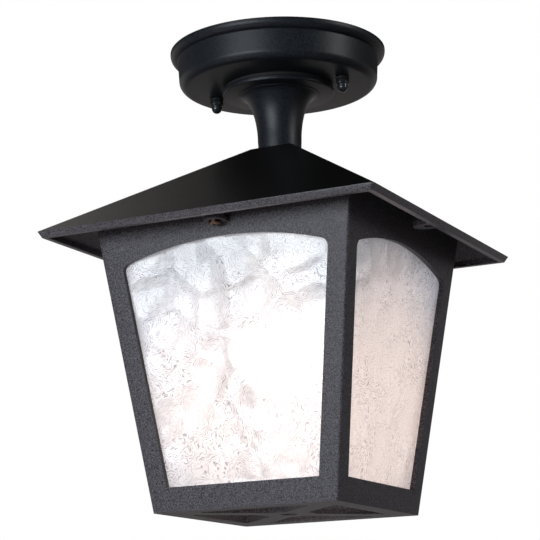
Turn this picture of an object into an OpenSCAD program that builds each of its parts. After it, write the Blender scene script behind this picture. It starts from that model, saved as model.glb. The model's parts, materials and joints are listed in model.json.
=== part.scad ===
// Porch ceiling lantern. A tapered square cage with four textured panes hangs under a pyramid
// roof. A trumpet-shaped stem carries the roof on a round canopy, which covers the ceiling bracket.
// The ceiling is the plane z = 0, the lantern hangs below it, and its front faces -Y.

/* [Canopy] */
// Diameter of the rim that meets the ceiling
rim_d = 130.4; // [124:0.2:150]
// Height of the rim
rim_h = 5.5; // [4.6:0.1:8]
// How far the rim stands out from the wall
rim_step = 4.4; // [4.3:0.1:8]
// Radius of the rim's rounded lower edge
rim_edge_r = 4.1; // [2:0.1:4.2]
// Height of the canopy
canopy_h = 22.6; // [20:0.2:40]
// Wall thickness of the canopy
canopy_t = 1.5; // [1:0.1:2.4]
// How far the wall draws in from the rim to its foot
canopy_draft = 0.7; // [0:0.1:2]
// Radius between the wall and the underside
canopy_corner_r = 5; // [3:0.5:8]
// Width of the sealing cord in the rim
cord_w = 3; // [2:0.1:4]
// Depth of the groove that holds the sealing cord
cord_h = 1.5; // [1:0.1:2]

/* [Ceiling bracket] */
// Length of the bracket
bracket_l = 100; // [94:1:108]
// Width of the bracket's strap
bracket_w = 18; // [14:0.5:24]
// Thickness of the bracket
bracket_t = 2; // [1.5:0.1:2.5]
// Depth of the step that gives the stud heads room
joggle = 5; // [4:0.1:6]
// Half-length of the pad that lies on the ceiling
pad_half = 34; // [32:0.5:35]
// Distance between the slots for the ceiling screws
slot_spacing = 48; // [44:1:50]
// Length of each slot
slot_l = 12; // [8:0.5:14]
// Width of each slot
slot_w = 5; // [4:0.1:6]
// Diameter of the hole for the supply cable
cable_hole_d = 12; // [10:0.5:16]
// Distance between the two canopy studs
stud_spacing = 85; // [80:0.5:88]
// Diameter of the canopy studs
stud_d = 4; // [3:0.5:5]
// Length of the earth tongue in front of the strap
tongue_l = 12; // [11:0.5:16]
// Length of the terminal plate behind the strap
plate_l = 24; // [23:0.5:27]
// Width of the earth tongue and the terminal plate
plate_w = 32; // [28:0.5:36]

/* [Canopy nuts] */
// Width across the flats of the cap nuts
nut_af = 7; // [6.5:0.1:8]
// Height of a cap nut's hexagon
nut_hex_h = 3.2; // [2.5:0.1:4]
// Height of a whole cap nut
nut_h = 8; // [7:0.1:10]
// Thickness of the sealing washers under the cap nuts
nut_washer_t = 1.2; // [0.8:0.1:2]
// Thickness of the locknuts on the bracket
locknut_t = 3; // [2:0.1:4]

/* [Stem] */
// Thickness of the seal between the canopy and the flange
seal_t = 1.6; // [1:0.1:3]
// Diameter of the flange
flange_d = 67.2; // [58:0.2:72]
// Thickness of the flange
flange_t = 3; // [2:0.1:5]
// Diameter of the flare where it leaves the flange
flare_d = 49; // [40:0.5:56]
// Height of the flare
flare_h = 28.7; // [18:0.1:30]
// Diameter of the neck at the end of the flare
neck_d = 26.4; // [24:0.2:32]
// Diameter of the stem's foot on the roof
foot_d = 25.8; // [23:0.2:27]
// Height of the whole stem
stem_h = 38.2; // [35:0.2:60]
// Diameter of the hollow threaded rod
rod_d = 10; // [8:0.5:12]
// Diameter of the bore in the rod
rod_bore_d = 7; // [6:0.1:7.4]
// Thickness of the nuts on the rod
rod_nut_t = 3; // [2.5:0.1:4]
// Width across the flats of the nuts on the rod
rod_nut_af = 14; // [13.5:0.5:17]
// Thickness of the washers on the rod
rod_washer_t = 1; // [0.6:0.1:1.4]

/* [Roof] */
// Width of the roof across the eaves
roof_w = 210; // [205:1:240]
// Width of the flat top
roof_top_w = 27.6; // [27.2:0.2:40]
// Height from the eaves' upper edge to the flat top
roof_rise = 57.7; // [52:0.5:75]
// Thickness of the roof's shell
roof_t = 2.5; // [1.8:0.1:3]
// Height of the eaves' edge
eave_h = 3.5; // [3:0.1:5]
// How far the eaves' edge leans in
eave_lean = 1.9; // [0:0.1:3]
// Width of the lip under the eaves
lip_w = 3.1; // [2:0.1:4]
// Radius of the roof's corners
roof_corner_r = 1.5; // [0.5:0.1:3]
// Depth from the eaves' upper edge to the underside of the lugs
lug_depth = 0.6; // [0.2:0.1:2]
// Width of the lugs inside the eaves
lug_w = 13; // [12.5:0.5:18]
// Thickness of the lugs
lug_t = 3; // [2:0.1:4]
// Gap between the cage's walls and the lugs that its screws enter
lug_gap = 2; // [1.7:0.1:2.6]
// Distance from the cage's walls to the plain lugs at the sides
side_lug_gap = 4.6; // [3:0.1:8]
// Distance from the lip to the plain holes in the side lugs
side_hole_in = 6.1; // [5.5:0.1:8]
// Diameter of the plain holes in the side lugs
side_hole_d = 6; // [4:0.5:6.5]

/* [Cage] */
// How far the eaves reach past the cage's walls at its tabs
eave_reach = 25.25; // [24.5:0.25:29]
// Outer width of the cage at its underside
base_w = 115; // [104:0.5:130]
// Height of the cage from the top of its tabs to its underside
cage_h = 159.4; // [150:0.2:200]
// Height of the collar above the tabs
collar_h = 9.5; // [8:0.1:10]
// Thickness of the cage's walls
cage_t = 3.2; // [2.5:0.1:4]
// Radius of the cage's upright edges
cage_corner_r = 1.4; // [0.8:0.1:3]
// Width of the posts beside the windows
post_w = 12.1; // [9:0.1:16]
// Distance from the tabs down to the crown of the window's arch
crown_drop = 9.3; // [7:0.1:16]
// Height of the border below the windows
sill_h = 13.9; // [11:0.1:20]
// Radius of the window's arch
arch_r = 211; // [150:1:400]
// Radius of the window's upper corners
window_corner_r = 4.7; // [2:0.1:8]
// Thickness of the base grille
grille_t = 3; // [2:0.1:4]
// Width of the border round the base grille
grille_border = 11.5; // [9:0.1:16]
// Width of the grille's diagonal arms
arm_w = 12.5; // [9:0.1:16]
// Half-width of the grille's hub
hub_half = 15; // [11:0.5:18]
// Diameter of the hole in the hub
hub_hole_d = 10; // [6:0.5:14]
// Corner radius of the grille's openings
grille_corner_r = 2.3; // [1:0.1:4]

/* [Cage fixing] */
// Width of the tabs on the cage
tab_w = 12; // [10:0.5:12.5]
// Thickness of the tabs
tab_t = 2.4; // [1.8:0.1:3]
// How far the tabs stand out from the cage
tab_l = 10.8; // [10:0.1:12]
// Diameter of the two screws that hold the cage
screw_d = 4; // [3:0.5:4.5]
// Length of those screws under the head
screw_l = 7; // [6:0.1:8]
// Diameter of their heads
screw_head_d = 7; // [6:0.1:8]
// Height of their heads
screw_head_h = 2.6; // [2:0.1:3.2]

/* [Panes] */
// Thickness of the glass
pane_t = 3; // [2:0.1:4]
// How far a pane laps behind the window's edge
pane_lap = 3; // [2:0.1:4]
// Width of the clips that hold a pane
clip_w = 8; // [7:0.5:10]
// Thickness of the clips
clip_t = 0.8; // [0.5:0.1:1.2]
// Distance of the clips from the middle of the pane
clip_x = 45; // [38:0.5:50]
// Length of the clip that lies over the glass
clip_reach = 5; // [3:0.1:6]
// Diameter of the clip screws
clip_screw_d = 3; // [2.5:0.1:3.4]
// Distance of the sill ledges from the middle of the pane
ledge_x = 28; // [20:0.5:34]
// Width of the sill ledges
ledge_w = 10; // [8:0.5:14]

/* [Lamp] */
// Distance from the roof's flat top down to the lampholder
holder_drop = 14; // [12:0.2:24]
// Diameter of the lampholder
holder_d = 39; // [37:0.5:44]
// Height of the lampholder's cap
holder_cap_h = 18; // [16:0.5:24]
// Height of the lampholder's shell
holder_shell_h = 38; // [36:0.5:44]
// Wall thickness of the lampholder
holder_t = 2.2; // [1.6:0.1:3]
// Outer diameter of the bulb's screw cap
bulb_cap_d = 26; // [25.6:0.1:26.4]
// Length of the bulb's screw cap with its tip
bulb_cap_h = 27; // [25:0.5:30]
// Diameter of the bulb's globe
bulb_d = 60; // [55:0.5:65]
// Length of the whole bulb
bulb_l = 105; // [98:0.5:112]
// Thickness of the bulb's glass
bulb_t = 1; // [0.6:0.1:1.5]

/* [Wiring] */
// Diameter of the internal leads
lead_d = 1.9; // [1.5:0.1:2.1]
// Width of the terminal block
block_w = 26; // [24:0.5:27]
// Depth of the terminal block
block_d = 15; // [13:0.5:15.5]
// Height of the terminal block
block_h = 11; // [9:0.5:12]

/* [Hidden] */

// Gap between a shaft and a hole that only lets it pass
pass_gap = 0.25;
// Gap between a thread and its nut
thread_gap = 0.05;
// Gap between a loose piece and its seat
seat_gap = 0.1;
// Length by which a cut runs past the face that it opens
past = 1;
// Thickness of the end slices of a tapered block
slice = 0.01;
// Facets of round pieces
fine = 96;
medium = 48;
coarse = 32;

rim_r = rim_d / 2;
wall_r = rim_r - rim_step;
wall_foot_r = wall_r - canopy_draft;
rod_hole_r = rod_d / 2 + pass_gap;
stud_x = stud_spacing / 2;
stud_r = stud_d / 2;

z_pad = -bracket_t;
z_step = -joggle;
z_canopy = -canopy_h;
z_canopy_floor = z_canopy + canopy_t;
z_flange = z_canopy - seal_t;
z_flare = z_flange - flange_t;
z_roof = z_flange - stem_h;
z_eave = z_roof - roof_rise;
z_lip = z_eave - eave_h;
z_lug = z_eave - lug_depth;
z_base = z_lug - cage_h;
z_holder = z_roof - holder_drop;
z_shell = z_holder - holder_cap_h;

roof_half = roof_w / 2;
roof_top_half = roof_top_w / 2;
roof_slope = roof_rise / (roof_half - roof_top_half);
// Thickness of the roof's shell measured straight down
roof_drop = roof_t * sqrt(1 + roof_slope * roof_slope);
lip_inner = roof_half - eave_lean - lip_w;
side_hole_r = lip_inner - side_hole_in;

cage_half = roof_half - eave_reach;
base_half = base_w / 2;
cage_lean = atan((cage_half - base_half) / cage_h);
// Thickness of the cage's wall measured level
cage_level_t = cage_t / cos(cage_lean);
// Distances down the slanted face from the level of the tabs
face_l = cage_h / cos(cage_lean);
window_foot = face_l - sill_h;
pane_top = crown_drop - pane_lap;
pane_foot = window_foot + pane_lap;

// Outer half-width of the cage at height z
function cage_at(z) = cage_half + (z - z_lug) * tan(cage_lean);

// Half-width of a window at the distance s down the face
function window_at(s) = cage_half - post_w - s * sin(cage_lean);

// Height of the roof's inner face at the distance x from the axis
function roof_inside(x) = z_roof - roof_drop - (x - roof_top_half) * roof_slope;

// Points along an arc, from angle a to angle b
function arc(x, y, r, a, b, n = 8) =
    [for (i = [0:n]) let (t = a + (b - a) * i / n) [x + r * cos(t), y + r * sin(t)]];

// A block whose square outline changes from one height to another
module square_taper(z_low, half_low, z_high, half_high, corner_r) {
    hull()
        for (sx = [-1, 1], sy = [-1, 1]) {
            translate([sx * (half_low - corner_r), sy * (half_low - corner_r), z_low])
                cylinder(h = slice, r = corner_r, $fn = coarse);
            translate([sx * (half_high - corner_r), sy * (half_high - corner_r), z_high - slice])
                cylinder(h = slice, r = corner_r, $fn = coarse);
        }
}

// A plate with a hole, lying between two heights
module ring(z_low, z_high, outer_r, inner_r) {
    difference() {
        translate([0, 0, z_low])
            cylinder(h = z_high - z_low, r = outer_r, $fn = fine);
        translate([0, 0, z_low - past])
            cylinder(h = z_high - z_low + 2 * past, r = inner_r, $fn = fine);
    }
}

// A hexagon nut with a plain bore, its upper face at z_high
module hex_nut(z_high, height, across_flats, bore_r) {
    difference() {
        translate([0, 0, z_high - height])
            cylinder(h = height, r = across_flats / 2 / cos(30), $fn = 6);
        translate([0, 0, z_high - height - past])
            cylinder(h = height + 2 * past, r = bore_r, $fn = medium);
    }
}

// A screw that points up, with a domed head below and a cross recess
module pan_screw(z_head, head_d, head_h, shank_d, shank_l) {
    dome_h = head_h * 0.45;
    recess_w = head_d * 0.14;
    recess_l = head_d * 0.6;
    recess_h = head_h * 0.45;
    dome_steps = 6;
    difference() {
        union() {
            rotate_extrude($fn = medium)
                polygon(concat(
                    [[0, z_head]],
                    [[head_d / 2, z_head], [head_d / 2, z_head - head_h + dome_h]],
                    [for (i = [1:dome_steps - 1]) let (t = 90 * i / dome_steps)
                        [head_d / 2 * cos(t), z_head - head_h + dome_h - dome_h * sin(t)]],
                    [[0, z_head - head_h]]
                ));
            translate([0, 0, z_head - slice])
                cylinder(h = shank_l + slice, r = shank_d / 2, $fn = medium);
        }
        for (turn = [0, 90])
            rotate([0, 0, turn])
                translate([-recess_l / 2, -recess_w / 2, z_head - head_h - past])
                    cube([recess_l, recess_w, recess_h + past]);
    }
}

// Puts its children on face k of the cage: x level, y up the slanted face, z outwards,
// with the origin on the outer face at the level of the tabs
module on_face(k) {
    rotate([0, 0, 90 * k])
        translate([0, -cage_half, z_lug])
            rotate([90 + cage_lean, 0, 0])
                children();
}

// ---------------------------------------------------------------- ceiling bracket

// Side view of the strap: a pad on the ceiling, with an end stepped down on each side
module strap_outline() {
    end = bracket_l / 2;
    rise = pad_half + joggle;
    polygon([
        [-pad_half, 0], [pad_half, 0], [rise, z_step], [end, z_step], [end, z_step - bracket_t],
        [rise - bracket_t / 2, z_step - bracket_t], [pad_half - bracket_t / 2, z_pad],
        [bracket_t / 2 - pad_half, z_pad], [bracket_t / 2 - rise, z_step - bracket_t],
        [-end, z_step - bracket_t], [-end, z_step], [-rise, z_step]
    ]);
}

earth_y = -bracket_w / 2 - tongue_l / 2;
block_y = bracket_w / 2 + plate_l / 2;

module ceiling_bracket() {
    color("silver")
        difference() {
            union() {
                translate([0, bracket_w / 2, 0])
                    rotate([90, 0, 0])
                        linear_extrude(height = bracket_w)
                            strap_outline();
                translate([-plate_w / 2, bracket_w / 2 - past, z_pad])
                    cube([plate_w, plate_l + past, bracket_t]);
                translate([-plate_w / 4, -bracket_w / 2 - tongue_l, z_pad])
                    cube([plate_w / 2, tongue_l + past, bracket_t]);
            }
            translate([0, 0, z_pad - past])
                cylinder(h = bracket_t + 2 * past, r = cable_hole_d / 2, $fn = medium);
            for (side = [-1, 1]) {
                translate([side * stud_x, 0, z_step - bracket_t - past])
                    cylinder(h = bracket_t + 2 * past, r = stud_r + thread_gap, $fn = medium);
                translate([side * slot_spacing / 2, 0, z_pad - past])
                    slot();
            }
            translate([0, earth_y, z_pad - past])
                cylinder(h = bracket_t + 2 * past, r = stud_r + thread_gap, $fn = medium);
            translate([0, block_y, z_pad - past])
                cylinder(h = bracket_t + 2 * past, r = block_screw_r + thread_gap, $fn = medium);
        }
}

// A slot along the strap for one ceiling screw
module slot() {
    half = (slot_l - slot_w) / 2;
    for (end = [-1, 1])
        translate([end * half, 0, 0])
            cylinder(h = bracket_t + 2 * past, r = slot_w / 2, $fn = medium);
    translate([-half, -slot_w / 2, 0])
        cube([2 * half, slot_w, bracket_t + 2 * past]);
}

// The studs hang from heads above the bracket's ends and reach into the cap nuts
stud_head_h = 2.4;
stud_head_r = stud_r * 1.8;
nut_roof_t = 2.2;
stud_end = nut_h - nut_roof_t;
z_nut_seat = z_canopy - nut_washer_t;

module bracket_studs() {
    color("gainsboro")
        for (side = [-1, 1])
            translate([side * stud_x, 0, 0]) {
                translate([0, 0, z_step])
                    cylinder(h = stud_head_h, r = stud_head_r, $fn = medium);
                translate([0, 0, z_nut_seat - stud_end])
                    cylinder(h = z_step - z_nut_seat + stud_end + slice, r = stud_r, $fn = medium);
            }
}

module stud_locknuts() {
    color("gainsboro")
        for (side = [-1, 1])
            translate([side * stud_x, 0, 0])
                hex_nut(z_step - bracket_t, locknut_t, nut_af, stud_r + thread_gap);
}

earth_head_d = stud_d * 1.9;
earth_head_h = 2.6;

// The earth screw holds the earth lead's eye against the tongue
module earth_screw() {
    color("goldenrod")
        translate([0, earth_y, 0])
            pan_screw(z_pad - eye_t, earth_head_d, earth_head_h, stud_d, bracket_t + eye_t);
}

// ---------------------------------------------------------------- wiring

block_screw_r = 1.5;
block_head_r = 2.4;
block_screw_head_h = 1.8;
block_pitch = block_w / 3;
block_foot_h = 3.8;
barrel_gap = 0.8;
barrel_r = (block_pitch - barrel_gap) / 2;
tunnel_r = lead_d / 2 + seat_gap;
clamp_screw_r = 1.2;
clamp_pitch = 9;
z_block = z_pad;
z_lead = z_block - block_h + barrel_r;
z_block_foot = z_block - block_h;
screw_well_h = block_h - block_foot_h;
block_front = block_y - block_d / 2;

// Three-way terminal block, with a raised housing for each way and a hole for its fixing screw
module terminal_block() {
    color("whitesmoke")
        difference() {
            union() {
                translate([-block_w / 2, block_front, z_lead])
                    cube([block_w, block_d, z_block - z_lead]);
                for (way = [-1, 0, 1])
                    translate([way * block_pitch, block_front + block_d, z_lead])
                        rotate([90, 0, 0])
                            cylinder(h = block_d, r = barrel_r, $fn = coarse);
            }
            for (way = [-1, 0, 1]) {
                translate([way * block_pitch, block_front + block_d + past, z_lead])
                    rotate([90, 0, 0])
                        cylinder(h = block_d + 2 * past, r = tunnel_r, $fn = coarse);
                for (end = [-1, 1])
                    translate([way * block_pitch, block_y + end * clamp_pitch / 2, z_block_foot - past])
                        cylinder(h = screw_well_h + past, r = clamp_screw_r + thread_gap, $fn = coarse);
            }
            translate([0, block_y, z_block_foot - past])
                cylinder(h = block_h + 2 * past, r = block_screw_r + pass_gap, $fn = coarse);
            translate([0, block_y, z_block_foot - past])
                cylinder(h = screw_well_h + past, r = block_head_r + pass_gap, $fn = coarse);
        }
}

// The screw that holds the terminal block on its plate, and the screws that clamp the leads
module terminal_screws() {
    color("silver") {
        translate([0, block_y, 0])
            pan_screw(z_block - block_foot_h, block_head_r * 2, block_screw_head_h,
                block_screw_r * 2, block_foot_h + bracket_t);
        for (way = [-1, 0, 1], end = [-1, 1])
            translate([way * block_pitch, block_y + end * clamp_pitch / 2, z_lead - barrel_r])
                cylinder(h = barrel_r - lead_d / 2, r = clamp_screw_r, $fn = coarse);
    }
}

// The leads run on round numbers from the block over the rod's mouth and down its bore
lead_offset = 1.5;
rod_top = 8;
z_rod_top = z_canopy_floor + rod_top;
insert_drop = 2;
z_insert = z_shell - insert_drop;
clamp_x = 8;
clamp_h = 5;
// The earth lead's eye, and the barrel behind it that grips the lead
eye_t = 1;
eye_neck_w = 2.4;
crimp_l = 4;
crimp_r = lead_d / 2 + 0.5;
crimp_y = earth_y + earth_head_d / 2 + 0.5;
z_crimp = z_pad - crimp_r - seat_gap;

function live_route(side) = [
    [side * block_pitch, block_y, z_lead],
    [side * block_pitch, block_front - 1, z_lead],
    [side * 7.5, 11, z_lead - 0.5],
    [side * 6, 7.5, z_lead - 0.8],
    [side * 4.2, 4, z_lead - 1.2],
    [side * 2.6, 1.4, z_lead - 2.4],
    [side * lead_offset, 0.2, z_rod_top - 0.5],
    [side * lead_offset, 0, z_rod_top - 4],
    [side * lead_offset, 0, (z_rod_top + z_holder) / 2],
    [side * lead_offset, 0, z_holder - 6],
    [side * 2.4, 0, z_holder - 9],
    [side * 6, 0, (z_holder - 9 + z_insert + clamp_h) / 2],
    [side * clamp_x, 0, z_insert + clamp_h + 1],
    [side * clamp_x, 0, z_insert]
];

earth_route = [
    [0, block_y - block_head_r - 0.6, z_lead],
    [0, block_front - 1, z_lead],
    [0, 10, z_lead + 0.8],
    [0, 7, z_lead + 2.4],
    [0, 4, z_lead + 3.8],
    [0, 1, z_crimp - 1.2],
    [0, -2, z_crimp - 0.3],
    [0, crimp_y + crimp_l, z_crimp],
    [0, crimp_y + 1, z_crimp]
];

function unit(v) = v / norm(v);

// Direction of a route at its point i
function heading(route, i) =
    unit(route[min(i + 1, len(route) - 1)] - route[max(i - 1, 0)]);

// A round tube along a route of points
module lead(route, d, sides = 8) {
    last = len(route) - 1;
    points = [
        for (i = [0:last])
            let (
                along = heading(route, i),
                side = unit(cross(along, [0.3, 1, 0.2])),
                up = cross(along, side)
            )
            for (k = [0:sides - 1])
                route[i] + d / 2 * (cos(360 * k / sides) * side + sin(360 * k / sides) * up)
    ];
    walls = [
        for (i = [0:last - 1], k = [0:sides - 1])
            let (n = (k + 1) % sides, near = i * sides, far = near + sides)
            each [[near + k, far + k, far + n], [near + k, far + n, near + n]]
    ];
    start = [for (k = [0:sides - 1]) k];
    end = [for (k = [0:sides - 1]) last * sides + sides - 1 - k];
    polyhedron(points = points, faces = concat(walls, [start, end]), convexity = 6);
}

module lead_live() {
    color("saddlebrown")
        lead(live_route(-1), lead_d);
}

module lead_neutral() {
    color("royalblue")
        lead(live_route(1), lead_d);
}

// The earth lead ends in an eye under the earth screw
module lead_earth() {
    color("yellowgreen") {
        lead(earth_route, lead_d);
        translate([0, earth_y, 0])
            ring(z_pad - eye_t, z_pad, stud_d, stud_r + pass_gap);
        translate([-eye_neck_w / 2, earth_y + stud_r + 1, z_pad - eye_t])
            cube([eye_neck_w, crimp_y - earth_y - stud_r, eye_t]);
        translate([0, crimp_y + crimp_l, z_crimp])
            rotate([90, 0, 0])
                cylinder(h = crimp_l, r = crimp_r, $fn = coarse);
    }
}

// ---------------------------------------------------------------- canopy

cord_r = (wall_r - canopy_t + rim_r) / 2;

// Foam cord that seals the rim to the ceiling
module sealing_cord() {
    color("dimgray")
        ring(-cord_h, 0, cord_r + cord_w / 2 - seat_gap, cord_r - cord_w / 2 + seat_gap);
}

// Pressed cover with a rounded rim, a rounded foot and a flat underside
module canopy() {
    corner_z = z_canopy + canopy_corner_r;
    corner_x = wall_foot_r - canopy_corner_r;
    color("darkslategray")
        difference() {
            rotate_extrude($fn = fine)
                polygon(concat(
                    [[rim_r, 0]],
                    arc(rim_r - rim_edge_r, rim_edge_r - rim_h, rim_edge_r, 0, -90),
                    [[wall_r, -rim_h]],
                    arc(corner_x, corner_z, canopy_corner_r, 0, -90),
                    [[rod_hole_r, z_canopy], [rod_hole_r, z_canopy_floor]],
                    arc(corner_x, corner_z, canopy_corner_r - canopy_t, -90, 0),
                    [[wall_r - canopy_t, -rim_h], [wall_r - canopy_t, 0]]
                ));
            ring(-cord_h, past, cord_r + cord_w / 2, cord_r - cord_w / 2);
            for (side = [-1, 1])
                translate([side * stud_x, 0, z_canopy - past])
                    cylinder(h = canopy_t + 2 * past, r = stud_r + pass_gap, $fn = medium);
        }
}

nut_washer_lip = 0.6;

module nut_washer(side) {
    translate([side * stud_x, 0, 0])
        ring(z_nut_seat, z_canopy, nut_af / 2 + nut_washer_lip, stud_r + pass_gap);
}

module left_nut_washer() {
    color("black")
        nut_washer(-1);
}

module right_nut_washer() {
    color("black")
        nut_washer(1);
}

// A hexagon nut closed by a dome, with a blind hole for the stud
module cap_nut(side) {
    dome_inset = 0.35;
    foot_bevel = 0.1;
    bevel_rise = 0.8;
    tip_room = 0.4;
    dome_r = nut_af / 2 - dome_inset;
    neck = nut_h - nut_hex_h - dome_r;
    foot_r = nut_af / 2 + foot_bevel;
    translate([side * stud_x, 0, z_nut_seat])
        difference() {
            union() {
                intersection() {
                    translate([0, 0, -nut_hex_h])
                        cylinder(h = nut_hex_h, r = nut_af / 2 / cos(30), $fn = 6);
                    translate([0, 0, -nut_hex_h])
                        cylinder(h = nut_hex_h, r1 = foot_r, r2 = foot_r + bevel_rise, $fn = medium);
                }
                translate([0, 0, -nut_hex_h - neck])
                    cylinder(h = neck + slice, r = dome_r, $fn = medium);
                translate([0, 0, -nut_hex_h - neck])
                    sphere(r = dome_r, $fn = medium);
            }
            translate([0, 0, -stud_end - tip_room])
                cylinder(h = stud_end + past, r = stud_r + thread_gap, $fn = medium);
        }
}

module left_cap_nut() {
    color("darkgray")
        cap_nut(-1);
}

module right_cap_nut() {
    color("darkgray")
        cap_nut(1);
}

// ---------------------------------------------------------------- stem

seal_inset = 0.8;
seal_hole_gap = 2;
stem_seal_t = 1.2;
stem_seal_out = foot_d / 2 - 1.6;
stem_seal_in = rod_hole_r + 1.4;

// Flat seal between the canopy and the flange
module canopy_seal() {
    color("black")
        ring(z_flange, z_canopy, flange_d / 2 - seal_inset, rod_hole_r + seal_hole_gap);
}

// Cast stem: a thin flange, a flare that sweeps down like a trumpet's bell, and a straight foot
module stem() {
    flange_r = flange_d / 2;
    flare_r = flare_d / 2;
    neck_r = neck_d / 2;
    edge = 0.6;
    shoulder = 0.5;
    steps = 18;
    color("darkslategray")
        difference() {
            rotate_extrude($fn = fine)
                polygon(concat(
                    [[rod_hole_r, z_flange]],
                    [[flange_r - edge, z_flange], [flange_r, z_flange - edge]],
                    [[flange_r, z_flare + edge], [flange_r - edge, z_flare]],
                    [[flare_r + shoulder, z_flare]],
                    [for (i = [0:steps]) let (t = 90 * i / steps)
                        [neck_r + (flare_r - neck_r) * (1 - sin(t)),
                            z_flare - shoulder - flare_h * (1 - cos(t))]],
                    [[foot_d / 2, z_roof], [rod_hole_r, z_roof]]
                ));
            ring(z_roof - past, z_roof + stem_seal_t, stem_seal_out, stem_seal_in);
        }
}

// Ring in the stem's foot that keeps water off the rod
module stem_seal() {
    color("black")
        ring(z_roof, z_roof + stem_seal_t, stem_seal_out - seat_gap, stem_seal_in + seat_gap);
}

rod_grip = 8;
rod_washer_r = rod_nut_af / 2 + 2;
z_rod_foot = z_holder - rod_grip;
z_roof_ceiling = z_roof - roof_t;

// Hollow threaded rod that clamps canopy, stem and roof, and carries the lampholder
module hollow_rod() {
    color("goldenrod")
        ring(z_rod_foot, z_rod_top, rod_d / 2, rod_bore_d / 2);
}

module rod_washers() {
    bore_r = rod_d / 2 + thread_gap;
    color("silver") {
        ring(z_canopy_floor, z_canopy_floor + rod_washer_t, rod_washer_r, bore_r);
        ring(z_roof_ceiling - rod_washer_t, z_roof_ceiling, rod_washer_r, bore_r);
    }
}

module rod_nuts() {
    bore_r = rod_d / 2 + thread_gap;
    color("goldenrod") {
        hex_nut(z_canopy_floor + rod_washer_t + rod_nut_t, rod_nut_t, rod_nut_af, bore_r);
        hex_nut(z_roof_ceiling - rod_washer_t, rod_nut_t, rod_nut_af, bore_r);
    }
}

// ---------------------------------------------------------------- roof

tab_hole_y = cage_half + tab_l / 2;

// Tongue that runs in from the lip on face k, round at its inner end, with one hole
module lug(k, inner, hole_y, hole_r) {
    rotate([0, 0, 90 * k])
        translate([0, 0, z_lug])
            linear_extrude(height = lug_t)
                difference() {
                    union() {
                        translate([0, -inner - lug_w / 2])
                            circle(r = lug_w / 2, $fn = medium);
                        translate([-lug_w / 2, -lip_inner - past])
                            square([lug_w, lip_inner + past - inner - lug_w / 2]);
                    }
                    translate([0, -hole_y])
                        circle(r = hole_r, $fn = medium);
                }
}

// Cast pyramid shell with a flat top, a lip under the eaves and a lug inside each of them. The
// front and back lugs have tapped holes, the side lugs plain ones
module roof() {
    cavity_top = roof_top_half + (roof_t - roof_drop) / roof_slope;
    z_cavity = roof_inside(lip_inner);
    color("dimgray") {
        difference() {
            union() {
                square_taper(z_eave, roof_half, z_roof, roof_top_half, roof_corner_r);
                square_taper(z_lip, roof_half - eave_lean, z_eave + slice, roof_half, roof_corner_r);
            }
            square_taper(z_cavity, lip_inner, z_roof_ceiling, cavity_top, roof_corner_r);
            translate([-lip_inner, -lip_inner, z_lip - past])
                cube([2 * lip_inner, 2 * lip_inner, z_cavity - z_lip + past + slice]);
            translate([0, 0, z_roof_ceiling - past])
                cylinder(h = roof_t + 2 * past, r = rod_hole_r, $fn = medium);
        }
        // The lugs run into the shell and end below its slopes
        intersection() {
            square_taper(z_lug - past, roof_half, z_roof, roof_top_half, roof_corner_r);
            union() {
                for (k = [0, 2])
                    lug(k, cage_half + lug_gap, tab_hole_y, screw_d / 2 + thread_gap);
                for (k = [1, 3])
                    lug(k, cage_half + side_lug_gap, side_hole_r, side_hole_d / 2);
            }
        }
    }
}

// ---------------------------------------------------------------- lampholder

holder_r = holder_d / 2;
holder_in_r = holder_r - holder_t;
z_holder_foot = z_shell - holder_shell_h;
insert_h = 8;
z_insert_foot = z_insert - insert_h;
contact_h = 1.8;
z_tip = z_insert_foot - contact_h - seat_gap;
thread_r = bulb_cap_d / 2 + seat_gap;
thread_t = 0.5;
thread_h = bulb_cap_h - 6;

// Domed cap that screws onto the rod
module holder_cap() {
    neck_r = rod_d / 2 + 4;
    neck_h = 4;
    neck_wall = 1;
    bore_foot = z_rod_foot - 0.4;
    skirt_h = 5;
    shoulder_h = (holder_cap_h - neck_h) * 0.35;
    dome_h = holder_cap_h - neck_h - shoulder_h;
    color("ivory")
        difference() {
            rotate_extrude($fn = fine)
                polygon(concat(
                    [[0, z_holder], [neck_r, z_holder], [neck_r, z_holder - neck_h]],
                    [for (i = [1:8]) let (t = 90 * i / 8)
                        [neck_r + (holder_r - neck_r) * sin(t), z_shell + shoulder_h + dome_h * cos(t)]],
                    [[holder_r, z_shell], [0, z_shell]]
                ));
            rotate_extrude($fn = fine)
                polygon(concat(
                    [[0, bore_foot], [neck_r - neck_wall, bore_foot], [holder_in_r, z_shell + skirt_h]],
                    [[holder_in_r, z_shell - past], [0, z_shell - past]]
                ));
            translate([0, 0, z_rod_foot - past])
                cylinder(h = rod_grip + 2 * past, r = rod_d / 2 + thread_gap, $fn = medium);
        }
}

// Ceramic disc that carries the clamps above and the contacts below
module holder_insert() {
    color("white")
        translate([0, 0, z_insert_foot])
            cylinder(h = insert_h, r = holder_in_r - seat_gap, $fn = fine);
}

// Brass clamps for the two leads, each with a screw at its side
module holder_clamps() {
    clamp_w = 6;
    screw_r = 2;
    screw_out = 2;
    color("goldenrod")
        for (side = [-1, 1])
            translate([side * clamp_x, 0, z_insert])
                difference() {
                    union() {
                        translate([-clamp_w / 2, -clamp_w / 2, 0])
                            cube([clamp_w, clamp_w, clamp_h]);
                        translate([0, -clamp_w / 2 - screw_out, clamp_h / 2])
                            rotate([-90, 0, 0])
                                cylinder(h = screw_out + slice, r = screw_r, $fn = coarse);
                    }
                    translate([0, 0, -past])
                        cylinder(h = clamp_h + 2 * past, r = tunnel_r, $fn = coarse);
                }
}

// Brass sleeve that takes the bulb's screw cap
module holder_thread() {
    color("goldenrod")
        ring(z_insert_foot - thread_h, z_insert_foot, thread_r + thread_t, thread_r);
}

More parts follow.
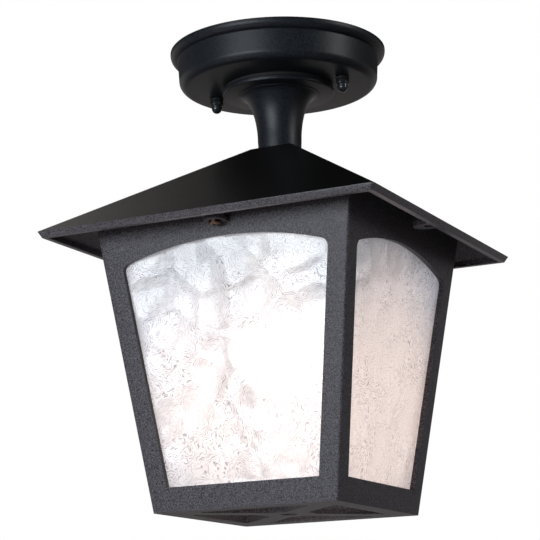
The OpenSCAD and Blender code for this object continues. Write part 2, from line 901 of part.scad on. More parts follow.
// Sprung tongue that meets the tip of the bulb
module holder_contact() {
    strip_w = 6;
    strip_t = 0.5;
    foot_x = 9;
    knee_x = 5;
    pad_x = 2.5;
    curl_x = 4;
    bend = 0.35;
    z_pad_foot = z_insert_foot - contact_h;
    color("goldenrod")
        translate([0, strip_w / 2, 0])
            rotate([90, 0, 0])
                linear_extrude(height = strip_w)
                    polygon([
                        [-foot_x, z_insert_foot], [-knee_x, z_insert_foot],
                        [-pad_x, z_pad_foot + strip_t], [pad_x, z_pad_foot + strip_t],
                        [curl_x, z_insert_foot - strip_t], [curl_x + bend, z_insert_foot - 2 * strip_t],
                        [pad_x + bend, z_pad_foot], [-pad_x - bend, z_pad_foot],
                        [-knee_x - bend, z_insert_foot - strip_t], [-foot_x, z_insert_foot - strip_t]
                    ]);
}

// Outer shell of the lampholder, with a rib round its mouth and a shelf that carries the disc
module holder_shell() {
    rib_h = 5;
    rib_w = 1;
    shelf_t = 2.5;
    lip_t = 2.2;
    mouth_r = thread_r + thread_t + seat_gap;
    color("ivory")
        rotate_extrude($fn = fine)
            polygon([
                [holder_in_r, z_shell], [holder_r, z_shell], [holder_r, z_holder_foot + rib_h],
                [holder_r + rib_w, z_holder_foot + rib_h - rib_w],
                [holder_r + rib_w, z_holder_foot + rib_w], [holder_r, z_holder_foot],
                [mouth_r + rib_w, z_holder_foot], [mouth_r, z_holder_foot + rib_w],
                [mouth_r, z_holder_foot + lip_t], [holder_in_r, z_holder_foot + lip_t + rib_w],
                [holder_in_r, z_insert_foot - shelf_t], [mouth_r, z_insert_foot - shelf_t],
                [mouth_r, z_insert_foot], [holder_in_r, z_insert_foot]
            ]);
}

// ---------------------------------------------------------------- bulb

tip_r = 4.7;
tip_t = 1.5;
insulator_h = 2.6;
cap_r = bulb_cap_d / 2;
cap_t = 0.6;
z_insulator = z_tip - tip_t;
z_cap_top = z_insulator - insulator_h;
z_cap_foot = z_tip - bulb_cap_h;
globe_r = bulb_d / 2;
z_globe = z_tip - bulb_l + globe_r;
neck_step = 1.4;
neck_drop = 6;
bulb_neck_r = cap_r + neck_step;
bulb_neck_z = z_cap_foot - neck_drop;
// Radius of the hollow curve that joins the neck to the globe without a corner
sweep_r = (pow(bulb_neck_r, 2) + pow(bulb_neck_z - z_globe, 2) - pow(globe_r, 2))
    / (2 * (globe_r - bulb_neck_r));
sweep_a = atan2(bulb_neck_z - z_globe, bulb_neck_r + sweep_r);

// Outline of the bulb's glass, drawn in by the distance d
function glass_outline(d) = concat(
    [[0, z_globe - globe_r + d]],
    arc(0, z_globe, globe_r - d, -85, sweep_a, 20),
    arc(bulb_neck_r + sweep_r, bulb_neck_z, sweep_r + d, 180 + sweep_a, 180, 10)
);

module bulb_contact() {
    color("silver")
        translate([0, 0, z_insulator])
            cylinder(h = tip_t, r = tip_r, $fn = medium);
}

cap_top_r = cap_r - 3.4;

module bulb_insulator() {
    color("black")
        rotate_extrude($fn = medium)
            polygon([
                [0, z_insulator - seat_gap], [tip_r, z_insulator - seat_gap],
                [cap_top_r, z_cap_top], [0, z_cap_top]
            ]);
}

// Screw cap: a thin shell with a shoulder at the tip
module bulb_cap() {
    shoulder = 2;
    color("silver")
        rotate_extrude($fn = fine)
            polygon([
                [0, z_cap_top], [cap_top_r, z_cap_top], [cap_r, z_cap_top - shoulder],
                [cap_r, z_cap_foot], [cap_r - cap_t, z_cap_foot],
                [cap_r - cap_t, z_cap_top - shoulder - cap_t / 3],
                [cap_top_r - cap_t / 3, z_cap_top - cap_t], [0, z_cap_top - cap_t]
            ]);
}

// Pear-shaped glass, with a neck that is cemented inside the screw cap
module bulb_glass() {
    collar_r = cap_r - cap_t - seat_gap;
    color("white", 0.8)
        rotate_extrude($fn = fine)
            polygon(concat(
                glass_outline(0),
                [[bulb_neck_r, z_cap_foot], [collar_r, z_cap_foot], [collar_r, z_neck_top]],
                [[collar_r - bulb_t, z_neck_top], [collar_r - bulb_t, z_cap_foot - bulb_t]],
                [for (i = [len(glass_outline(bulb_t)) - 1:-1:0]) glass_outline(bulb_t)[i]]
            ));
}

neck_in = 4;
z_neck_top = z_cap_foot + neck_in;
// The glass mount: its length below the cap, its flare, its stalk and its tip
mount_l = 24;
mount_flare_h = 5;
stalk_r = 2.6;
mount_tip_r = 2;
mount_tip_h = 4;
mount_rim_t = 1;
mount_foot = z_cap_foot - mount_l;
wire_r = 0.5;
wire_x = 11;

// Glass mount that rises from the neck and carries the wires
module bulb_mount() {
    collar_r = cap_r - cap_t - seat_gap;
    flare_r = collar_r - bulb_t - seat_gap;
    color("white", 0.6)
        rotate_extrude($fn = medium)
            polygon([
                [0, z_neck_top + mount_rim_t], [collar_r, z_neck_top + mount_rim_t],
                [collar_r, z_neck_top], [flare_r, z_neck_top], [flare_r, z_neck_top - mount_rim_t],
                [stalk_r * 1.5, z_cap_foot - mount_flare_h], [stalk_r, mount_foot + mount_tip_h],
                [mount_tip_r, mount_foot], [0, mount_foot]
            ]);
}

// Filament on two wires that spread from the mount
module bulb_filament() {
    wire_l = 16;
    root_x = 1.2;
    spread = asin((wire_x - root_x) / wire_l);
    z_root = mount_foot - wire_r * sin(spread);
    z_filament = z_root - wire_l * cos(spread);
    color("gold") {
        for (side = [-1, 1])
            translate([side * root_x, 0, z_root])
                rotate([0, 180 - side * spread, 0])
                    cylinder(h = wire_l, r = wire_r, $fn = coarse);
        translate([-wire_x - wire_r, 0, z_filament])
            rotate([0, 90, 0])
                cylinder(h = 2 * (wire_x + wire_r), r = wire_r * 1.6, $fn = coarse);
    }
}

// ---------------------------------------------------------------- cage

// A window: slanted sides, a flat sill and a low arch with rounded corners
module window_outline() {
    square_corners = 2 * window_corner_r;
    union() {
        offset(r = window_corner_r, $fn = medium)
            offset(delta = -window_corner_r)
                intersection() {
                    polygon([
                        [-window_at(0), 0], [window_at(0), 0],
                        [window_at(window_foot), -window_foot], [-window_at(window_foot), -window_foot]
                    ]);
                    translate([0, -crown_drop - arch_r])
                        circle(r = arch_r, $fn = 360);
                }
        polygon([
            [-window_at(window_foot - square_corners), square_corners - window_foot],
            [window_at(window_foot - square_corners), square_corners - window_foot],
            [window_at(window_foot), -window_foot], [-window_at(window_foot), -window_foot]
        ]);
    }
}

// One opening of the base grille, on the +X side
module grille_outline() {
    outer = base_half - grille_border;
    arm = arm_w / sqrt(2);
    offset(r = grille_corner_r, $fn = coarse)
        offset(delta = -grille_corner_r)
            polygon([
                [hub_half, arm - hub_half], [outer, arm - outer],
                [outer, outer - arm], [hub_half, hub_half - arm]
            ]);
}

boss_wall = 2;
boss_gap = 0.6;
boss_r = clip_screw_d / 2 + boss_wall;
boss_h = pane_t;
boss_y = boss_r + boss_gap - pane_top;
boss_hole = boss_h + cage_t * 0.5;
ledge_h = 3;
ledge_lip = 1.2;
ledge_out = pane_t + ledge_lip;

// Bosses for the clip screws and the two ledges that carry a pane, on the inside of face k
module pane_seats(k) {
    on_face(k)
        for (side = [-1, 1]) {
            translate([side * clip_x, boss_y, -cage_t - boss_h])
                cylinder(h = boss_h + slice, r = boss_r, $fn = coarse);
            translate([side * ledge_x - ledge_w / 2, -pane_foot - ledge_h, -cage_t - ledge_out])
                cube([ledge_w, ledge_h, ledge_out + slice]);
        }
}

// Tab that stands out from face k under the roof's lug, round at its end
module tab(k) {
    end_r = tab_w / 2 + 0.4;
    rotate([0, 0, 90 * k])
        translate([0, 0, z_lug - tab_t])
            linear_extrude(height = tab_t)
                difference() {
                    union() {
                        translate([-tab_w / 2, -tab_hole_y])
                            square([tab_w, tab_hole_y - cage_half + cage_t / 2]);
                        translate([0, -tab_hole_y])
                            intersection() {
                                circle(r = end_r, $fn = medium);
                                translate([-tab_w / 2, -tab_l / 2])
                                    square([tab_w, tab_l / 2 + past]);
                            }
                    }
                    translate([0, -tab_hole_y])
                        circle(r = screw_d / 2 + pass_gap, $fn = medium);
                }
}

// Cast cage: four walls with arched windows, a grille below, two tabs and the panes' seats
module cage() {
    z_top = z_lug + collar_h;
    z_grille = z_base + grille_t;
    color("dimgray")
        difference() {
            union() {
                difference() {
                    square_taper(z_base, base_half, z_top, cage_at(z_top), cage_corner_r);
                    square_taper(z_grille, cage_at(z_grille) - cage_level_t,
                        z_top + past, cage_at(z_top + past) - cage_level_t, cage_corner_r);
                }
                for (k = [0:3])
                    pane_seats(k);
                for (k = [0, 2])
                    tab(k);
            }
            for (k = [0:3]) {
                on_face(k)
                    translate([0, 0, -cage_t - past])
                        linear_extrude(height = cage_t + 2 * past)
                            window_outline();
                rotate([0, 0, 90 * k])
                    translate([0, 0, z_base - past])
                        linear_extrude(height = grille_t + 2 * past)
                            grille_outline();
                on_face(k)
                    for (side = [-1, 1])
                        translate([side * clip_x, boss_y, -cage_t - boss_h - past])
                            cylinder(h = boss_hole + past, r = clip_screw_d / 2 + thread_gap, $fn = coarse);
            }
            translate([0, 0, z_base - past])
                cylinder(h = grille_t + 2 * past, r = hub_hole_d / 2, $fn = medium);
        }
}

// A pane behind the window of face k
module pane(k) {
    top = window_at(pane_top) + pane_lap;
    foot = window_at(pane_foot) + pane_lap;
    color("lightcyan", 0.5)
        on_face(k)
            translate([0, 0, -cage_t - pane_t])
                linear_extrude(height = pane_t)
                    polygon([
                        [-top, -pane_top], [top, -pane_top], [foot, -pane_foot], [-foot, -pane_foot]
                    ]);
}

module front_pane() {
    pane(0);
}

module right_pane() {
    pane(1);
}

module back_pane() {
    pane(2);
}

module left_pane() {
    pane(3);
}

clip_head_d = clip_screw_d * 1.9;
clip_head_h = 1.7;
clip_back = 3.4;

// Spring clips that hold the panes' upper edges against the walls
module pane_clips() {
    color("silver")
        for (k = [0:3], side = [-1, 1])
            on_face(k)
                translate([side * clip_x, boss_y, -cage_t - boss_h - clip_t])
                    difference() {
                        translate([-clip_w / 2, -boss_y - pane_top - clip_reach, 0])
                            cube([clip_w, boss_y + pane_top + clip_reach + clip_back, clip_t]);
                        translate([0, 0, -past])
                            cylinder(h = clip_t + 2 * past, r = clip_screw_d / 2 + pass_gap, $fn = coarse);
                    }
}

module clip_screws() {
    color("silver")
        for (k = [0:3], side = [-1, 1])
            on_face(k)
                translate([side * clip_x, boss_y, -cage_t - boss_h - clip_t])
                    pan_screw(0, clip_head_d, clip_head_h, clip_screw_d,
                        clip_t + boss_h + cage_t * 0.3);
}

// ---------------------------------------------------------------- cage screws

module cage_screw(side) {
    translate([0, side * tab_hole_y, 0])
        pan_screw(z_lug - tab_t, screw_head_d, screw_head_h, screw_d, screw_l);
}

module front_screw() {
    color("peru")
        cage_screw(-1);
}

module back_screw() {
    color("peru")
        cage_screw(1);
}

ceiling_bracket();
bracket_studs();
stud_locknuts();
earth_screw();
terminal_block();
terminal_screws();
lead_live();
lead_neutral();
lead_earth();
sealing_cord();
canopy();
left_nut_washer();
right_nut_washer();
left_cap_nut();
right_cap_nut();
canopy_seal();
stem();
stem_seal();
hollow_rod();
rod_washers();
rod_nuts();
roof();
holder_cap();
holder_insert();
holder_clamps();
holder_thread();
holder_contact();
holder_shell();
bulb_contact();
bulb_insulator();
bulb_cap();
bulb_glass();
bulb_mount();
bulb_filament();
cage();
front_pane();
right_pane();
back_pane();
left_pane();
pane_clips();
clip_screws();
front_screw();
back_screw();
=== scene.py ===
# %% [markdown]
# # A porch ceiling lantern
#
# The lantern is a dark cast cage with four textured panes, under a pyramid roof, hung by a
# trumpet-shaped stem from a round canopy. The frame holds every piece at its real size and place, so
# this notebook only gives the pieces their looks: soft edges, powder coat, dented glass and light.
#
# All sizes are in metres, and `mm` is one millimetre. The ceiling is the plane z = 0, the lantern's
# front faces -Y, and the lantern hangs down along -Z.

# %% The frame
import json
import math

import bmesh
import bpy
from mathutils import Matrix, Vector, noise

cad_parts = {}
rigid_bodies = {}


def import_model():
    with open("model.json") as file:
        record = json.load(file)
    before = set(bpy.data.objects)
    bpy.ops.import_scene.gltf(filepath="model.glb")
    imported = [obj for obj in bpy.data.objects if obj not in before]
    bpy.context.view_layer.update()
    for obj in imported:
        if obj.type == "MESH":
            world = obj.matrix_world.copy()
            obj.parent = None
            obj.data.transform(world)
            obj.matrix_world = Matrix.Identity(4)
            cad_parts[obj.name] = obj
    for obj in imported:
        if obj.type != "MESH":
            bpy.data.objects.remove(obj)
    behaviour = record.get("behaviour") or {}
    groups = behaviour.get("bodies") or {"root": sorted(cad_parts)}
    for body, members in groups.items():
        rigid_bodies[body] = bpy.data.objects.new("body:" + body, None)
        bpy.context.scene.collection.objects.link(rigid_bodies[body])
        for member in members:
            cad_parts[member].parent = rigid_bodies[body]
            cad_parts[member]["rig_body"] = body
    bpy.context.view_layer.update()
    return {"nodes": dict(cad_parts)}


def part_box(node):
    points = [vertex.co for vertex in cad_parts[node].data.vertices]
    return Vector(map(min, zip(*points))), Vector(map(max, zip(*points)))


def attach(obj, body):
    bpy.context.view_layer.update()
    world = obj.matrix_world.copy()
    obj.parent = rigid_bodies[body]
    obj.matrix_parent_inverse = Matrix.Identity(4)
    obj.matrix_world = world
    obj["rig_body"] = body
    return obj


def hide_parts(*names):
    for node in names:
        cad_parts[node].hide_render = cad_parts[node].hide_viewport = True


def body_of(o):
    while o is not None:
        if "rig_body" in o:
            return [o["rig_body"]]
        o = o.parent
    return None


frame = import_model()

mm = 0.001

# %% [markdown]
# ## The camera
#
# A photographer looks up at the lantern from in front and to its right. A camera could be turned
# by Euler angles, but it is easier to see what happens when its three axes are built one by one: the
# direction back from the lantern to the lens, the direction to the right, and the direction up. They
# become the columns of the camera's matrix. A long lens keeps the upright edges almost parallel.

# %% The camera's place
camera_turn = math.radians(26.263)
camera_rise = math.radians(-12.432)
camera_roll = math.radians(-1.331)
camera_distance = 1130.7 * mm
camera_side_step = -7.7 * mm
aim_height = -135.19 * mm
lens_mm = 126.86
sensor_mm = 36
clip_near = 50 * mm

back = Vector((
    math.sin(camera_turn) * math.cos(camera_rise),
    -math.cos(camera_turn) * math.cos(camera_rise),
    math.sin(camera_rise),
))
level_right = Vector((math.cos(camera_turn), math.sin(camera_turn), 0))
level_up = back.cross(level_right)
camera_right = level_right * math.cos(camera_roll) + level_up * math.sin(camera_roll)
camera_up = level_up * math.cos(camera_roll) - level_right * math.sin(camera_roll)

lens = bpy.data.cameras.new("lens")
lens.lens = lens_mm
lens.sensor_width = sensor_mm
lens.clip_start = clip_near
camera = bpy.data.objects.new("camera", lens)
bpy.context.scene.collection.objects.link(camera)
place = Vector((0, 0, aim_height)) + back * camera_distance + level_right * camera_side_step
turn = Matrix((camera_right, camera_up, back)).transposed().to_4x4()
camera.matrix_world = Matrix.Translation(place) @ turn
bpy.context.scene.camera = camera
print(f"the camera stands {camera_distance:.2f} m away, {-place.z:.2f} m below the ceiling")

# %% [markdown]
# ## The white studio
#
# Satin black metal shows mainly what it reflects, so the room matters more than the paint. In this
# studio, white paper stands behind the lantern, and nothing bright hangs overhead, where a white sky
# would turn the roof's slopes grey, nor below or in front. A picture of a studio could light the
# world, but a few nodes do it too, and each of them has a number that can be changed.
#
# Light Path tells the world which kind of ray asks. The camera sees white all round. The glass sees a
# dimmer, slightly warm paper. Gloss sees it only where paper stands: at the back, at the left and,
# more weakly, at the right. One more, much dimmer strength lights the metal softly from all sides.
#
# Three helpers come first, because every finish needs them: one joins two sockets, one adds a node
# with its settings, and one adds a Math node whose inputs are numbers or sockets.

# %% Helpers for nodes
def link(tree, source, target):
    tree.links.new(source, target)


def add_node(tree, kind, **settings):
    node = tree.nodes.new(kind)
    for name, value in settings.items():
        setattr(node, name, value)
    return node


def maths(tree, operation, first, second=0.0):
    node = add_node(tree, "ShaderNodeMath", operation=operation)
    for socket, value in zip(node.inputs, (first, second)):
        if isinstance(value, (int, float)):
            socket.default_value = value
        else:
            link(tree, value, socket)
    return node.outputs[0]


print("ready to join nodes")

# %% [markdown]
# Each part of a direction lies between -1 and 1. Z tells sky from ground, Y tells front from back, and
# X tells left from right. For each part, a pair of numbers says where the paper starts to fade and
# where the fade ends, and a third one says how much of the paper is left beyond that.

# %% The paper's numbers
paper_in_gloss = 0.54
paper_through_glass = 0.44
paper_tone = (1.0, 0.94, 0.925)
fill_strength = 0.07
dark_sky = (0.12, 0.29)
dark_ground = (-0.32, -0.60)
dark_front = (0.45, -0.35)
dim_right = (-0.25, 0.45)
sky_left = 0.004
front_left = 0.10
right_left = 0.36
print(f"gloss sees paper at {paper_in_gloss}, glass at {paper_through_glass}")

# %% Where the paper stands
world = bpy.data.worlds.new("white_studio")
bpy.context.scene.world = world
world.use_nodes = True
sky = world.node_tree
sky.nodes.clear()
rays = add_node(sky, "ShaderNodeLightPath")
direction = add_node(sky, "ShaderNodeTexCoord")
split = add_node(sky, "ShaderNodeSeparateXYZ")
link(sky, direction.outputs["Generated"], split.inputs[0])


def faded(value, span, left):
    """Falls softly from 1 to what is left, as a direction's part crosses the span."""
    fade = add_node(sky, "ShaderNodeMapRange", interpolation_type="SMOOTHSTEP")
    start, end = span
    if start > end:
        value, start, end = maths(sky, "MULTIPLY", value, -1), -start, -end
    for name, number in (("From Min", start), ("From Max", end), ("To Min", 1), ("To Max", left)):
        fade.inputs[name].default_value = number
    link(sky, value, fade.inputs["Value"])
    return fade.outputs[0]


around = maths(sky, "MULTIPLY", faded(split.outputs["Z"], dark_sky, sky_left),
               faded(split.outputs["Z"], dark_ground, sky_left))
around = maths(sky, "MULTIPLY", around, faded(split.outputs["Y"], dark_front, front_left))
around = maths(sky, "MULTIPLY", around, faded(split.outputs["X"], dim_right, right_left))
print("the paper fades overhead, below and in front")

# %% Who sees the paper
gloss = maths(sky, "MULTIPLY", rays.outputs["Is Glossy Ray"],
              maths(sky, "MULTIPLY", around, paper_in_gloss))
through = maths(sky, "MULTIPLY", rays.outputs["Is Transmission Ray"], paper_through_glass)
seen = maths(sky, "MAXIMUM", rays.outputs["Is Camera Ray"], maths(sky, "MAXIMUM", gloss, through))
strength = maths(sky, "MAXIMUM", seen, maths(
    sky, "MULTIPLY", fill_strength, rays.outputs["Is Diffuse Ray"]))
paper = add_node(sky, "ShaderNodeBackground")
tone = add_node(sky, "ShaderNodeCombineColor")
for name, level in zip(("Red", "Green", "Blue"), paper_tone):
    own = maths(sky, "MULTIPLY", rays.outputs["Is Camera Ray"], 1 - level)
    link(sky, maths(sky, "ADD", own, level), tone.inputs[name])
link(sky, tone.outputs[0], paper.inputs["Color"])
link(sky, strength, paper.inputs["Strength"])
sky_output = add_node(sky, "ShaderNodeOutputWorld")
link(sky, paper.outputs[0], sky_output.inputs["Surface"])
bpy.context.scene.view_settings.view_transform = "Standard"
print("the world is white to the camera and dark overhead to the gloss")

# %% [markdown]
# Four softboxes light the metal. A point light would give hard white dots, and a big area light gives
# the long soft gradients that show a curved stem's form. The key box stands level with the lantern and
# in front of it. The side box at the right is weaker, so that the two faces part at the cage's corner.
# A low one lights the grille from below, as light from a floor does, and a small one, high up behind
# the lantern's left, lays a sheen on the roof's left slope.

# %% The softboxes
def softbox(name, where, size, watts, colour=(1, 1, 1)):
    light = bpy.data.lights.new(name, "AREA")
    light.shape = "RECTANGLE"
    light.size, light.size_y = size
    light.energy = watts
    light.color = colour
    box = bpy.data.objects.new(name, light)
    bpy.context.scene.collection.objects.link(box)
    aim = Vector((0, 0, aim_height)) - Vector(where)
    box.matrix_world = Matrix.Translation(where) @ aim.to_track_quat("-Z", "Y").to_matrix().to_4x4()
    print(f"{name}: {size[0]} x {size[1]} m, {watts} W")


softbox("key_softbox", (-0.35, -1.9, -0.1), (1.3, 0.7), 28, (0.88, 0.95, 1.0))
softbox("side_softbox", (1.8, 0.2, 0.45), (0.5, 0.8), 9.0, (0.96, 0.99, 1.0))
softbox("low_softbox", (-0.5, -0.5, -1.3), (1.0, 1.0), 4.6, (1.0, 0.93, 0.88))
softbox("high_softbox", (-0.92, 0.54, 0.94), (0.45, 0.6), 0.80, (1.0, 0.94, 0.92))

# %% [markdown]
# The floor is plain and pale. A pale paint would throw light up at the dark metal, so the paint is a
# mid grey, and the camera and the glass see a glow added to it, which makes it pale for them alone. The
# paint keeps the lantern's shadow. A grid operator with one cell makes the sheet.

# %% The floor
floor_depth = -1.6
floor_half = 4.0
floor_colour = (0.40, 0.39, 0.38)
floor_roughness = 0.9
floor_glow = (1, 0.99, 0.97)
floor_glow_strength = 0.80
floor_mesh = bmesh.new()
bmesh.ops.create_grid(floor_mesh, x_segments=1, y_segments=1, size=floor_half)
bmesh.ops.translate(floor_mesh, verts=floor_mesh.verts, vec=(0, 0, floor_depth))
floor_data = bpy.data.meshes.new("studio_floor")
floor_mesh.to_mesh(floor_data)
floor_mesh.free()
floor = bpy.data.objects.new("studio_floor", floor_data)
bpy.context.scene.collection.objects.link(floor)
floor_paint = bpy.data.materials.new("pale_paper")
floor_paint.use_nodes = True
floor_tree = floor_paint.node_tree
floor_shader = floor_tree.nodes["Principled BSDF"]
floor_shader.inputs["Base Color"].default_value = (*floor_colour, 1)
floor_shader.inputs["Roughness"].default_value = floor_roughness
floor_rays = add_node(floor_tree, "ShaderNodeLightPath")
floor_seen = maths(floor_tree, "MAXIMUM", floor_rays.outputs["Is Camera Ray"],
                   floor_rays.outputs["Is Transmission Ray"])
floor_shader.inputs["Emission Color"].default_value = (*floor_glow, 1)
link(floor_tree, maths(floor_tree, "MULTIPLY", floor_seen, floor_glow_strength),
     floor_shader.inputs["Emission Strength"])
floor_data.materials.append(floor_paint)
print(f"a pale floor lies {-floor_depth:.1f} m below the ceiling")

# %% [markdown]
# ## The finishes
#
# Powder coat is paint that is sprayed on dry and melted. It flows a little, but a fine grain stays,
# about two thirds of a millimetre wide. A flat colour would look like plastic. Two things make the
# grain: a noise that varies the colour a little, and the same noise as a bump, which breaks up the
# highlights. Object coordinates keep the grain at its real size on every piece.
#
# The helpers come first. Most values of a noise lie between 0.3 and 0.7, so these two numbers are the
# usual ends of a blend.

# %% Helpers for finishes
noise_low = 0.3
noise_high = 0.7


def plain_material(name, colour, roughness, metallic=0.0, specular=0.5):
    material = bpy.data.materials.new(name)
    material.use_nodes = True
    shader = material.node_tree.nodes["Principled BSDF"]
    shader.inputs["Base Color"].default_value = (*colour, 1)
    shader.inputs["Roughness"].default_value = roughness
    shader.inputs["Metallic"].default_value = metallic
    shader.inputs["Specular IOR Level"].default_value = specular
    return material


def grain_noise(tree, grain, detail=2.0, stretch=(1, 1, 1)):
    """A noise on object coordinates whose features are about one grain wide."""
    coordinates = add_node(tree, "ShaderNodeTexCoord")
    mapping = add_node(tree, "ShaderNodeMapping")
    mapping.inputs["Scale"].default_value = stretch
    texture = add_node(tree, "ShaderNodeTexNoise")
    texture.inputs["Scale"].default_value = 1 / grain
    texture.inputs["Detail"].default_value = detail
    link(tree, coordinates.outputs["Object"], mapping.inputs["Vector"])
    link(tree, mapping.outputs[0], texture.inputs["Vector"])
    return texture.outputs["Fac"]


print("ready to make a material and its grain")

# %% [markdown]
# A noise becomes colour in two ways. A ramp blends two fixed colours, and a Mix node blends colours
# that may also come from other nodes.

# %% Helpers for colour
def tint(tree, factor, dark, light, low=noise_low, high=noise_high):
    """Blends two colours by a noise and feeds them to the shader."""
    ramp = add_node(tree, "ShaderNodeValToRGB")
    ramp.color_ramp.elements[0].position = low
    ramp.color_ramp.elements[1].position = high
    ramp.color_ramp.elements[0].color = (*dark, 1)
    ramp.color_ramp.elements[1].color = (*light, 1)
    link(tree, factor, ramp.inputs["Fac"])
    link(tree, ramp.outputs["Color"], tree.nodes["Principled BSDF"].inputs["Base Color"])


def mixed(tree, factor, first, second):
    """Blends two colours, each a plain colour or a socket."""
    mix = add_node(tree, "ShaderNodeMix", data_type="RGBA")
    link(tree, factor, mix.inputs["Factor"])
    for name, colour in (("A", first), ("B", second)):
        socket = [s for s in mix.inputs if s.name == name and s.type == "RGBA"][0]
        if isinstance(colour, tuple):
            socket.default_value = (*colour, 1)
        else:
            link(tree, colour, socket)
    return [s for s in mix.outputs if s.type == "RGBA"][0]


print("ready to blend colours")

# %% [markdown]
# A noise becomes relief through a Bump node, which tilts the light on a surface without moving it, and
# it becomes a play of gloss through the roughness.

# %% Helpers for relief and gloss
def roughen(tree, factor, height, strength=1.0):
    """Uses a noise as a bump of the given height."""
    bump = add_node(tree, "ShaderNodeBump")
    bump.inputs["Distance"].default_value = height
    bump.inputs["Strength"].default_value = strength
    link(tree, factor, bump.inputs["Height"])
    link(tree, bump.outputs["Normal"], tree.nodes["Principled BSDF"].inputs["Normal"])


def vary_roughness(tree, factor, low, high):
    """Lets a noise move the roughness between two levels."""
    span = add_node(tree, "ShaderNodeMapRange")
    span.inputs["From Min"].default_value = noise_low
    span.inputs["From Max"].default_value = noise_high
    span.inputs["To Min"].default_value = low
    span.inputs["To Max"].default_value = high
    link(tree, factor, span.inputs["Value"])
    link(tree, span.outputs[0], tree.nodes["Principled BSDF"].inputs["Roughness"])


print("ready to make finishes")

# %% [markdown]
# The coat on the cage is charcoal, and the one on the canopy and the stem is black and smoother. Both
# have the same grain.

# %% Powder coat
coat_grain = 0.62 * mm
grain_start = 0.42
grain_end = 0.6
coat_roughness_swing = 0.06
coat_bump_strength = 0.6
charcoal = ((0.022, 0.020, 0.024), (0.126, 0.116, 0.134))
soft_black = ((0.006, 0.007, 0.009), (0.019, 0.023, 0.031))


def powder_coat(name, dark, light, bump_height, roughness, specular):
    material = plain_material(name, light, roughness, specular=specular)
    tree = material.node_tree
    speckle = grain_noise(tree, coat_grain)
    tint(tree, speckle, dark, light, grain_start, grain_end)
    vary_roughness(tree, speckle, roughness - coat_roughness_swing, roughness + coat_roughness_swing)
    roughen(tree, speckle, bump_height, coat_bump_strength)
    return material


charcoal_coat = powder_coat(
    "charcoal_coat", *charcoal, bump_height=0.12 * mm, roughness=0.46, specular=0.25)
black_coat = powder_coat(
    "black_coat", *soft_black, bump_height=0.07 * mm, roughness=0.42, specular=0.30)
print("made the charcoal coat and the black one")

# %% [markdown]
# On the roof, the slopes look black, while the lip under the eaves looks as grey as the cage. The black
# on the slopes is painted shade: the coat is the same, and only its colour is darkened where the faces
# look up. Two materials would leave a hard step at the rounded edge. So the roof has one coat, and an
# attribute, which is 1 on the slopes and 0 elsewhere, blends its colour to black. The roof's cell
# writes that attribute.

# %% The roof's coat
# The near-black colour is painted shade on the roof's slopes.
painted_slope_shade = (0.004, 0.0035, 0.0035)
roof_coat = powder_coat(
    "roof_coat", *charcoal, bump_height=0.05 * mm, roughness=0.38, specular=0.45)
roof_tree = roof_coat.node_tree
roof_shader = roof_tree.nodes["Principled BSDF"]
painted_top_shade = add_node(roof_tree, "ShaderNodeAttribute", attribute_name="painted_top_shade")
grain_colour = roof_shader.inputs["Base Color"].links[0].from_socket
link(roof_tree, mixed(roof_tree, painted_top_shade.outputs["Fac"], grain_colour, painted_slope_shade),
     roof_shader.inputs["Base Color"])
print("made the roof's coat")

# %% [markdown]
# The other metals are small. Zinc plate is a pale, slightly mottled metal, brass a yellow one, and the
# cage's screws have a brown bronze finish. The cap nuts are blackened, and the bulb's cap is rolled
# bright. The base colour carries a slow mottle and the roughness a fine one, as on plated parts.

# %% Metals
plate_swing = 0.08
plate_bump = 0.02 * mm
plate_bump_strength = 0.4
fine_per_mottle = 8


def plated_metal(name, dark, light, roughness, mottle=4 * mm, metallic=1.0):
    material = plain_material(name, light, roughness, metallic=metallic)
    tree = material.node_tree
    tint(tree, grain_noise(tree, mottle, detail=4), dark, light)
    fine = grain_noise(tree, mottle / fine_per_mottle, detail=3)
    vary_roughness(tree, fine, roughness - plate_swing, roughness + plate_swing)
    roughen(tree, fine, plate_bump, plate_bump_strength)
    return material


zinc_plate = plated_metal("zinc_plate", (0.42, 0.44, 0.47), (0.62, 0.63, 0.64), 0.34)
bright_brass = plated_metal("bright_brass", (0.52, 0.36, 0.13), (0.72, 0.53, 0.22), 0.28)
bronze_screw = plated_metal("bronze_screw", (0.045, 0.030, 0.022), (0.16, 0.10, 0.07), 0.36)
black_nut = plated_metal(
    "black_nut", (0.020, 0.021, 0.024), (0.045, 0.047, 0.052), 0.26, mottle=2 * mm, metallic=0.4)
rolled_cap = plated_metal("rolled_cap", (0.60, 0.60, 0.61), (0.78, 0.78, 0.79), 0.24)
print("made five metals")

# %% [markdown]
# Rubber, plastics and the ceramic disc are hidden once the lantern hangs, but they show when the cage
# comes down or when the canopy is seen from above. Each has its own speckle and gloss.

# %% Rubber, plastics and ceramic
mould_swing = 0.05
mould_bump = 0.02 * mm
mould_bump_strength = 0.5


def moulded(name, dark, light, roughness, grain):
    material = plain_material(name, light, roughness)
    tree = material.node_tree
    speckle = grain_noise(tree, grain, detail=3)
    tint(tree, speckle, dark, light)
    vary_roughness(tree, speckle, roughness - mould_swing, roughness + mould_swing)
    roughen(tree, speckle, mould_bump, mould_bump_strength)
    return material


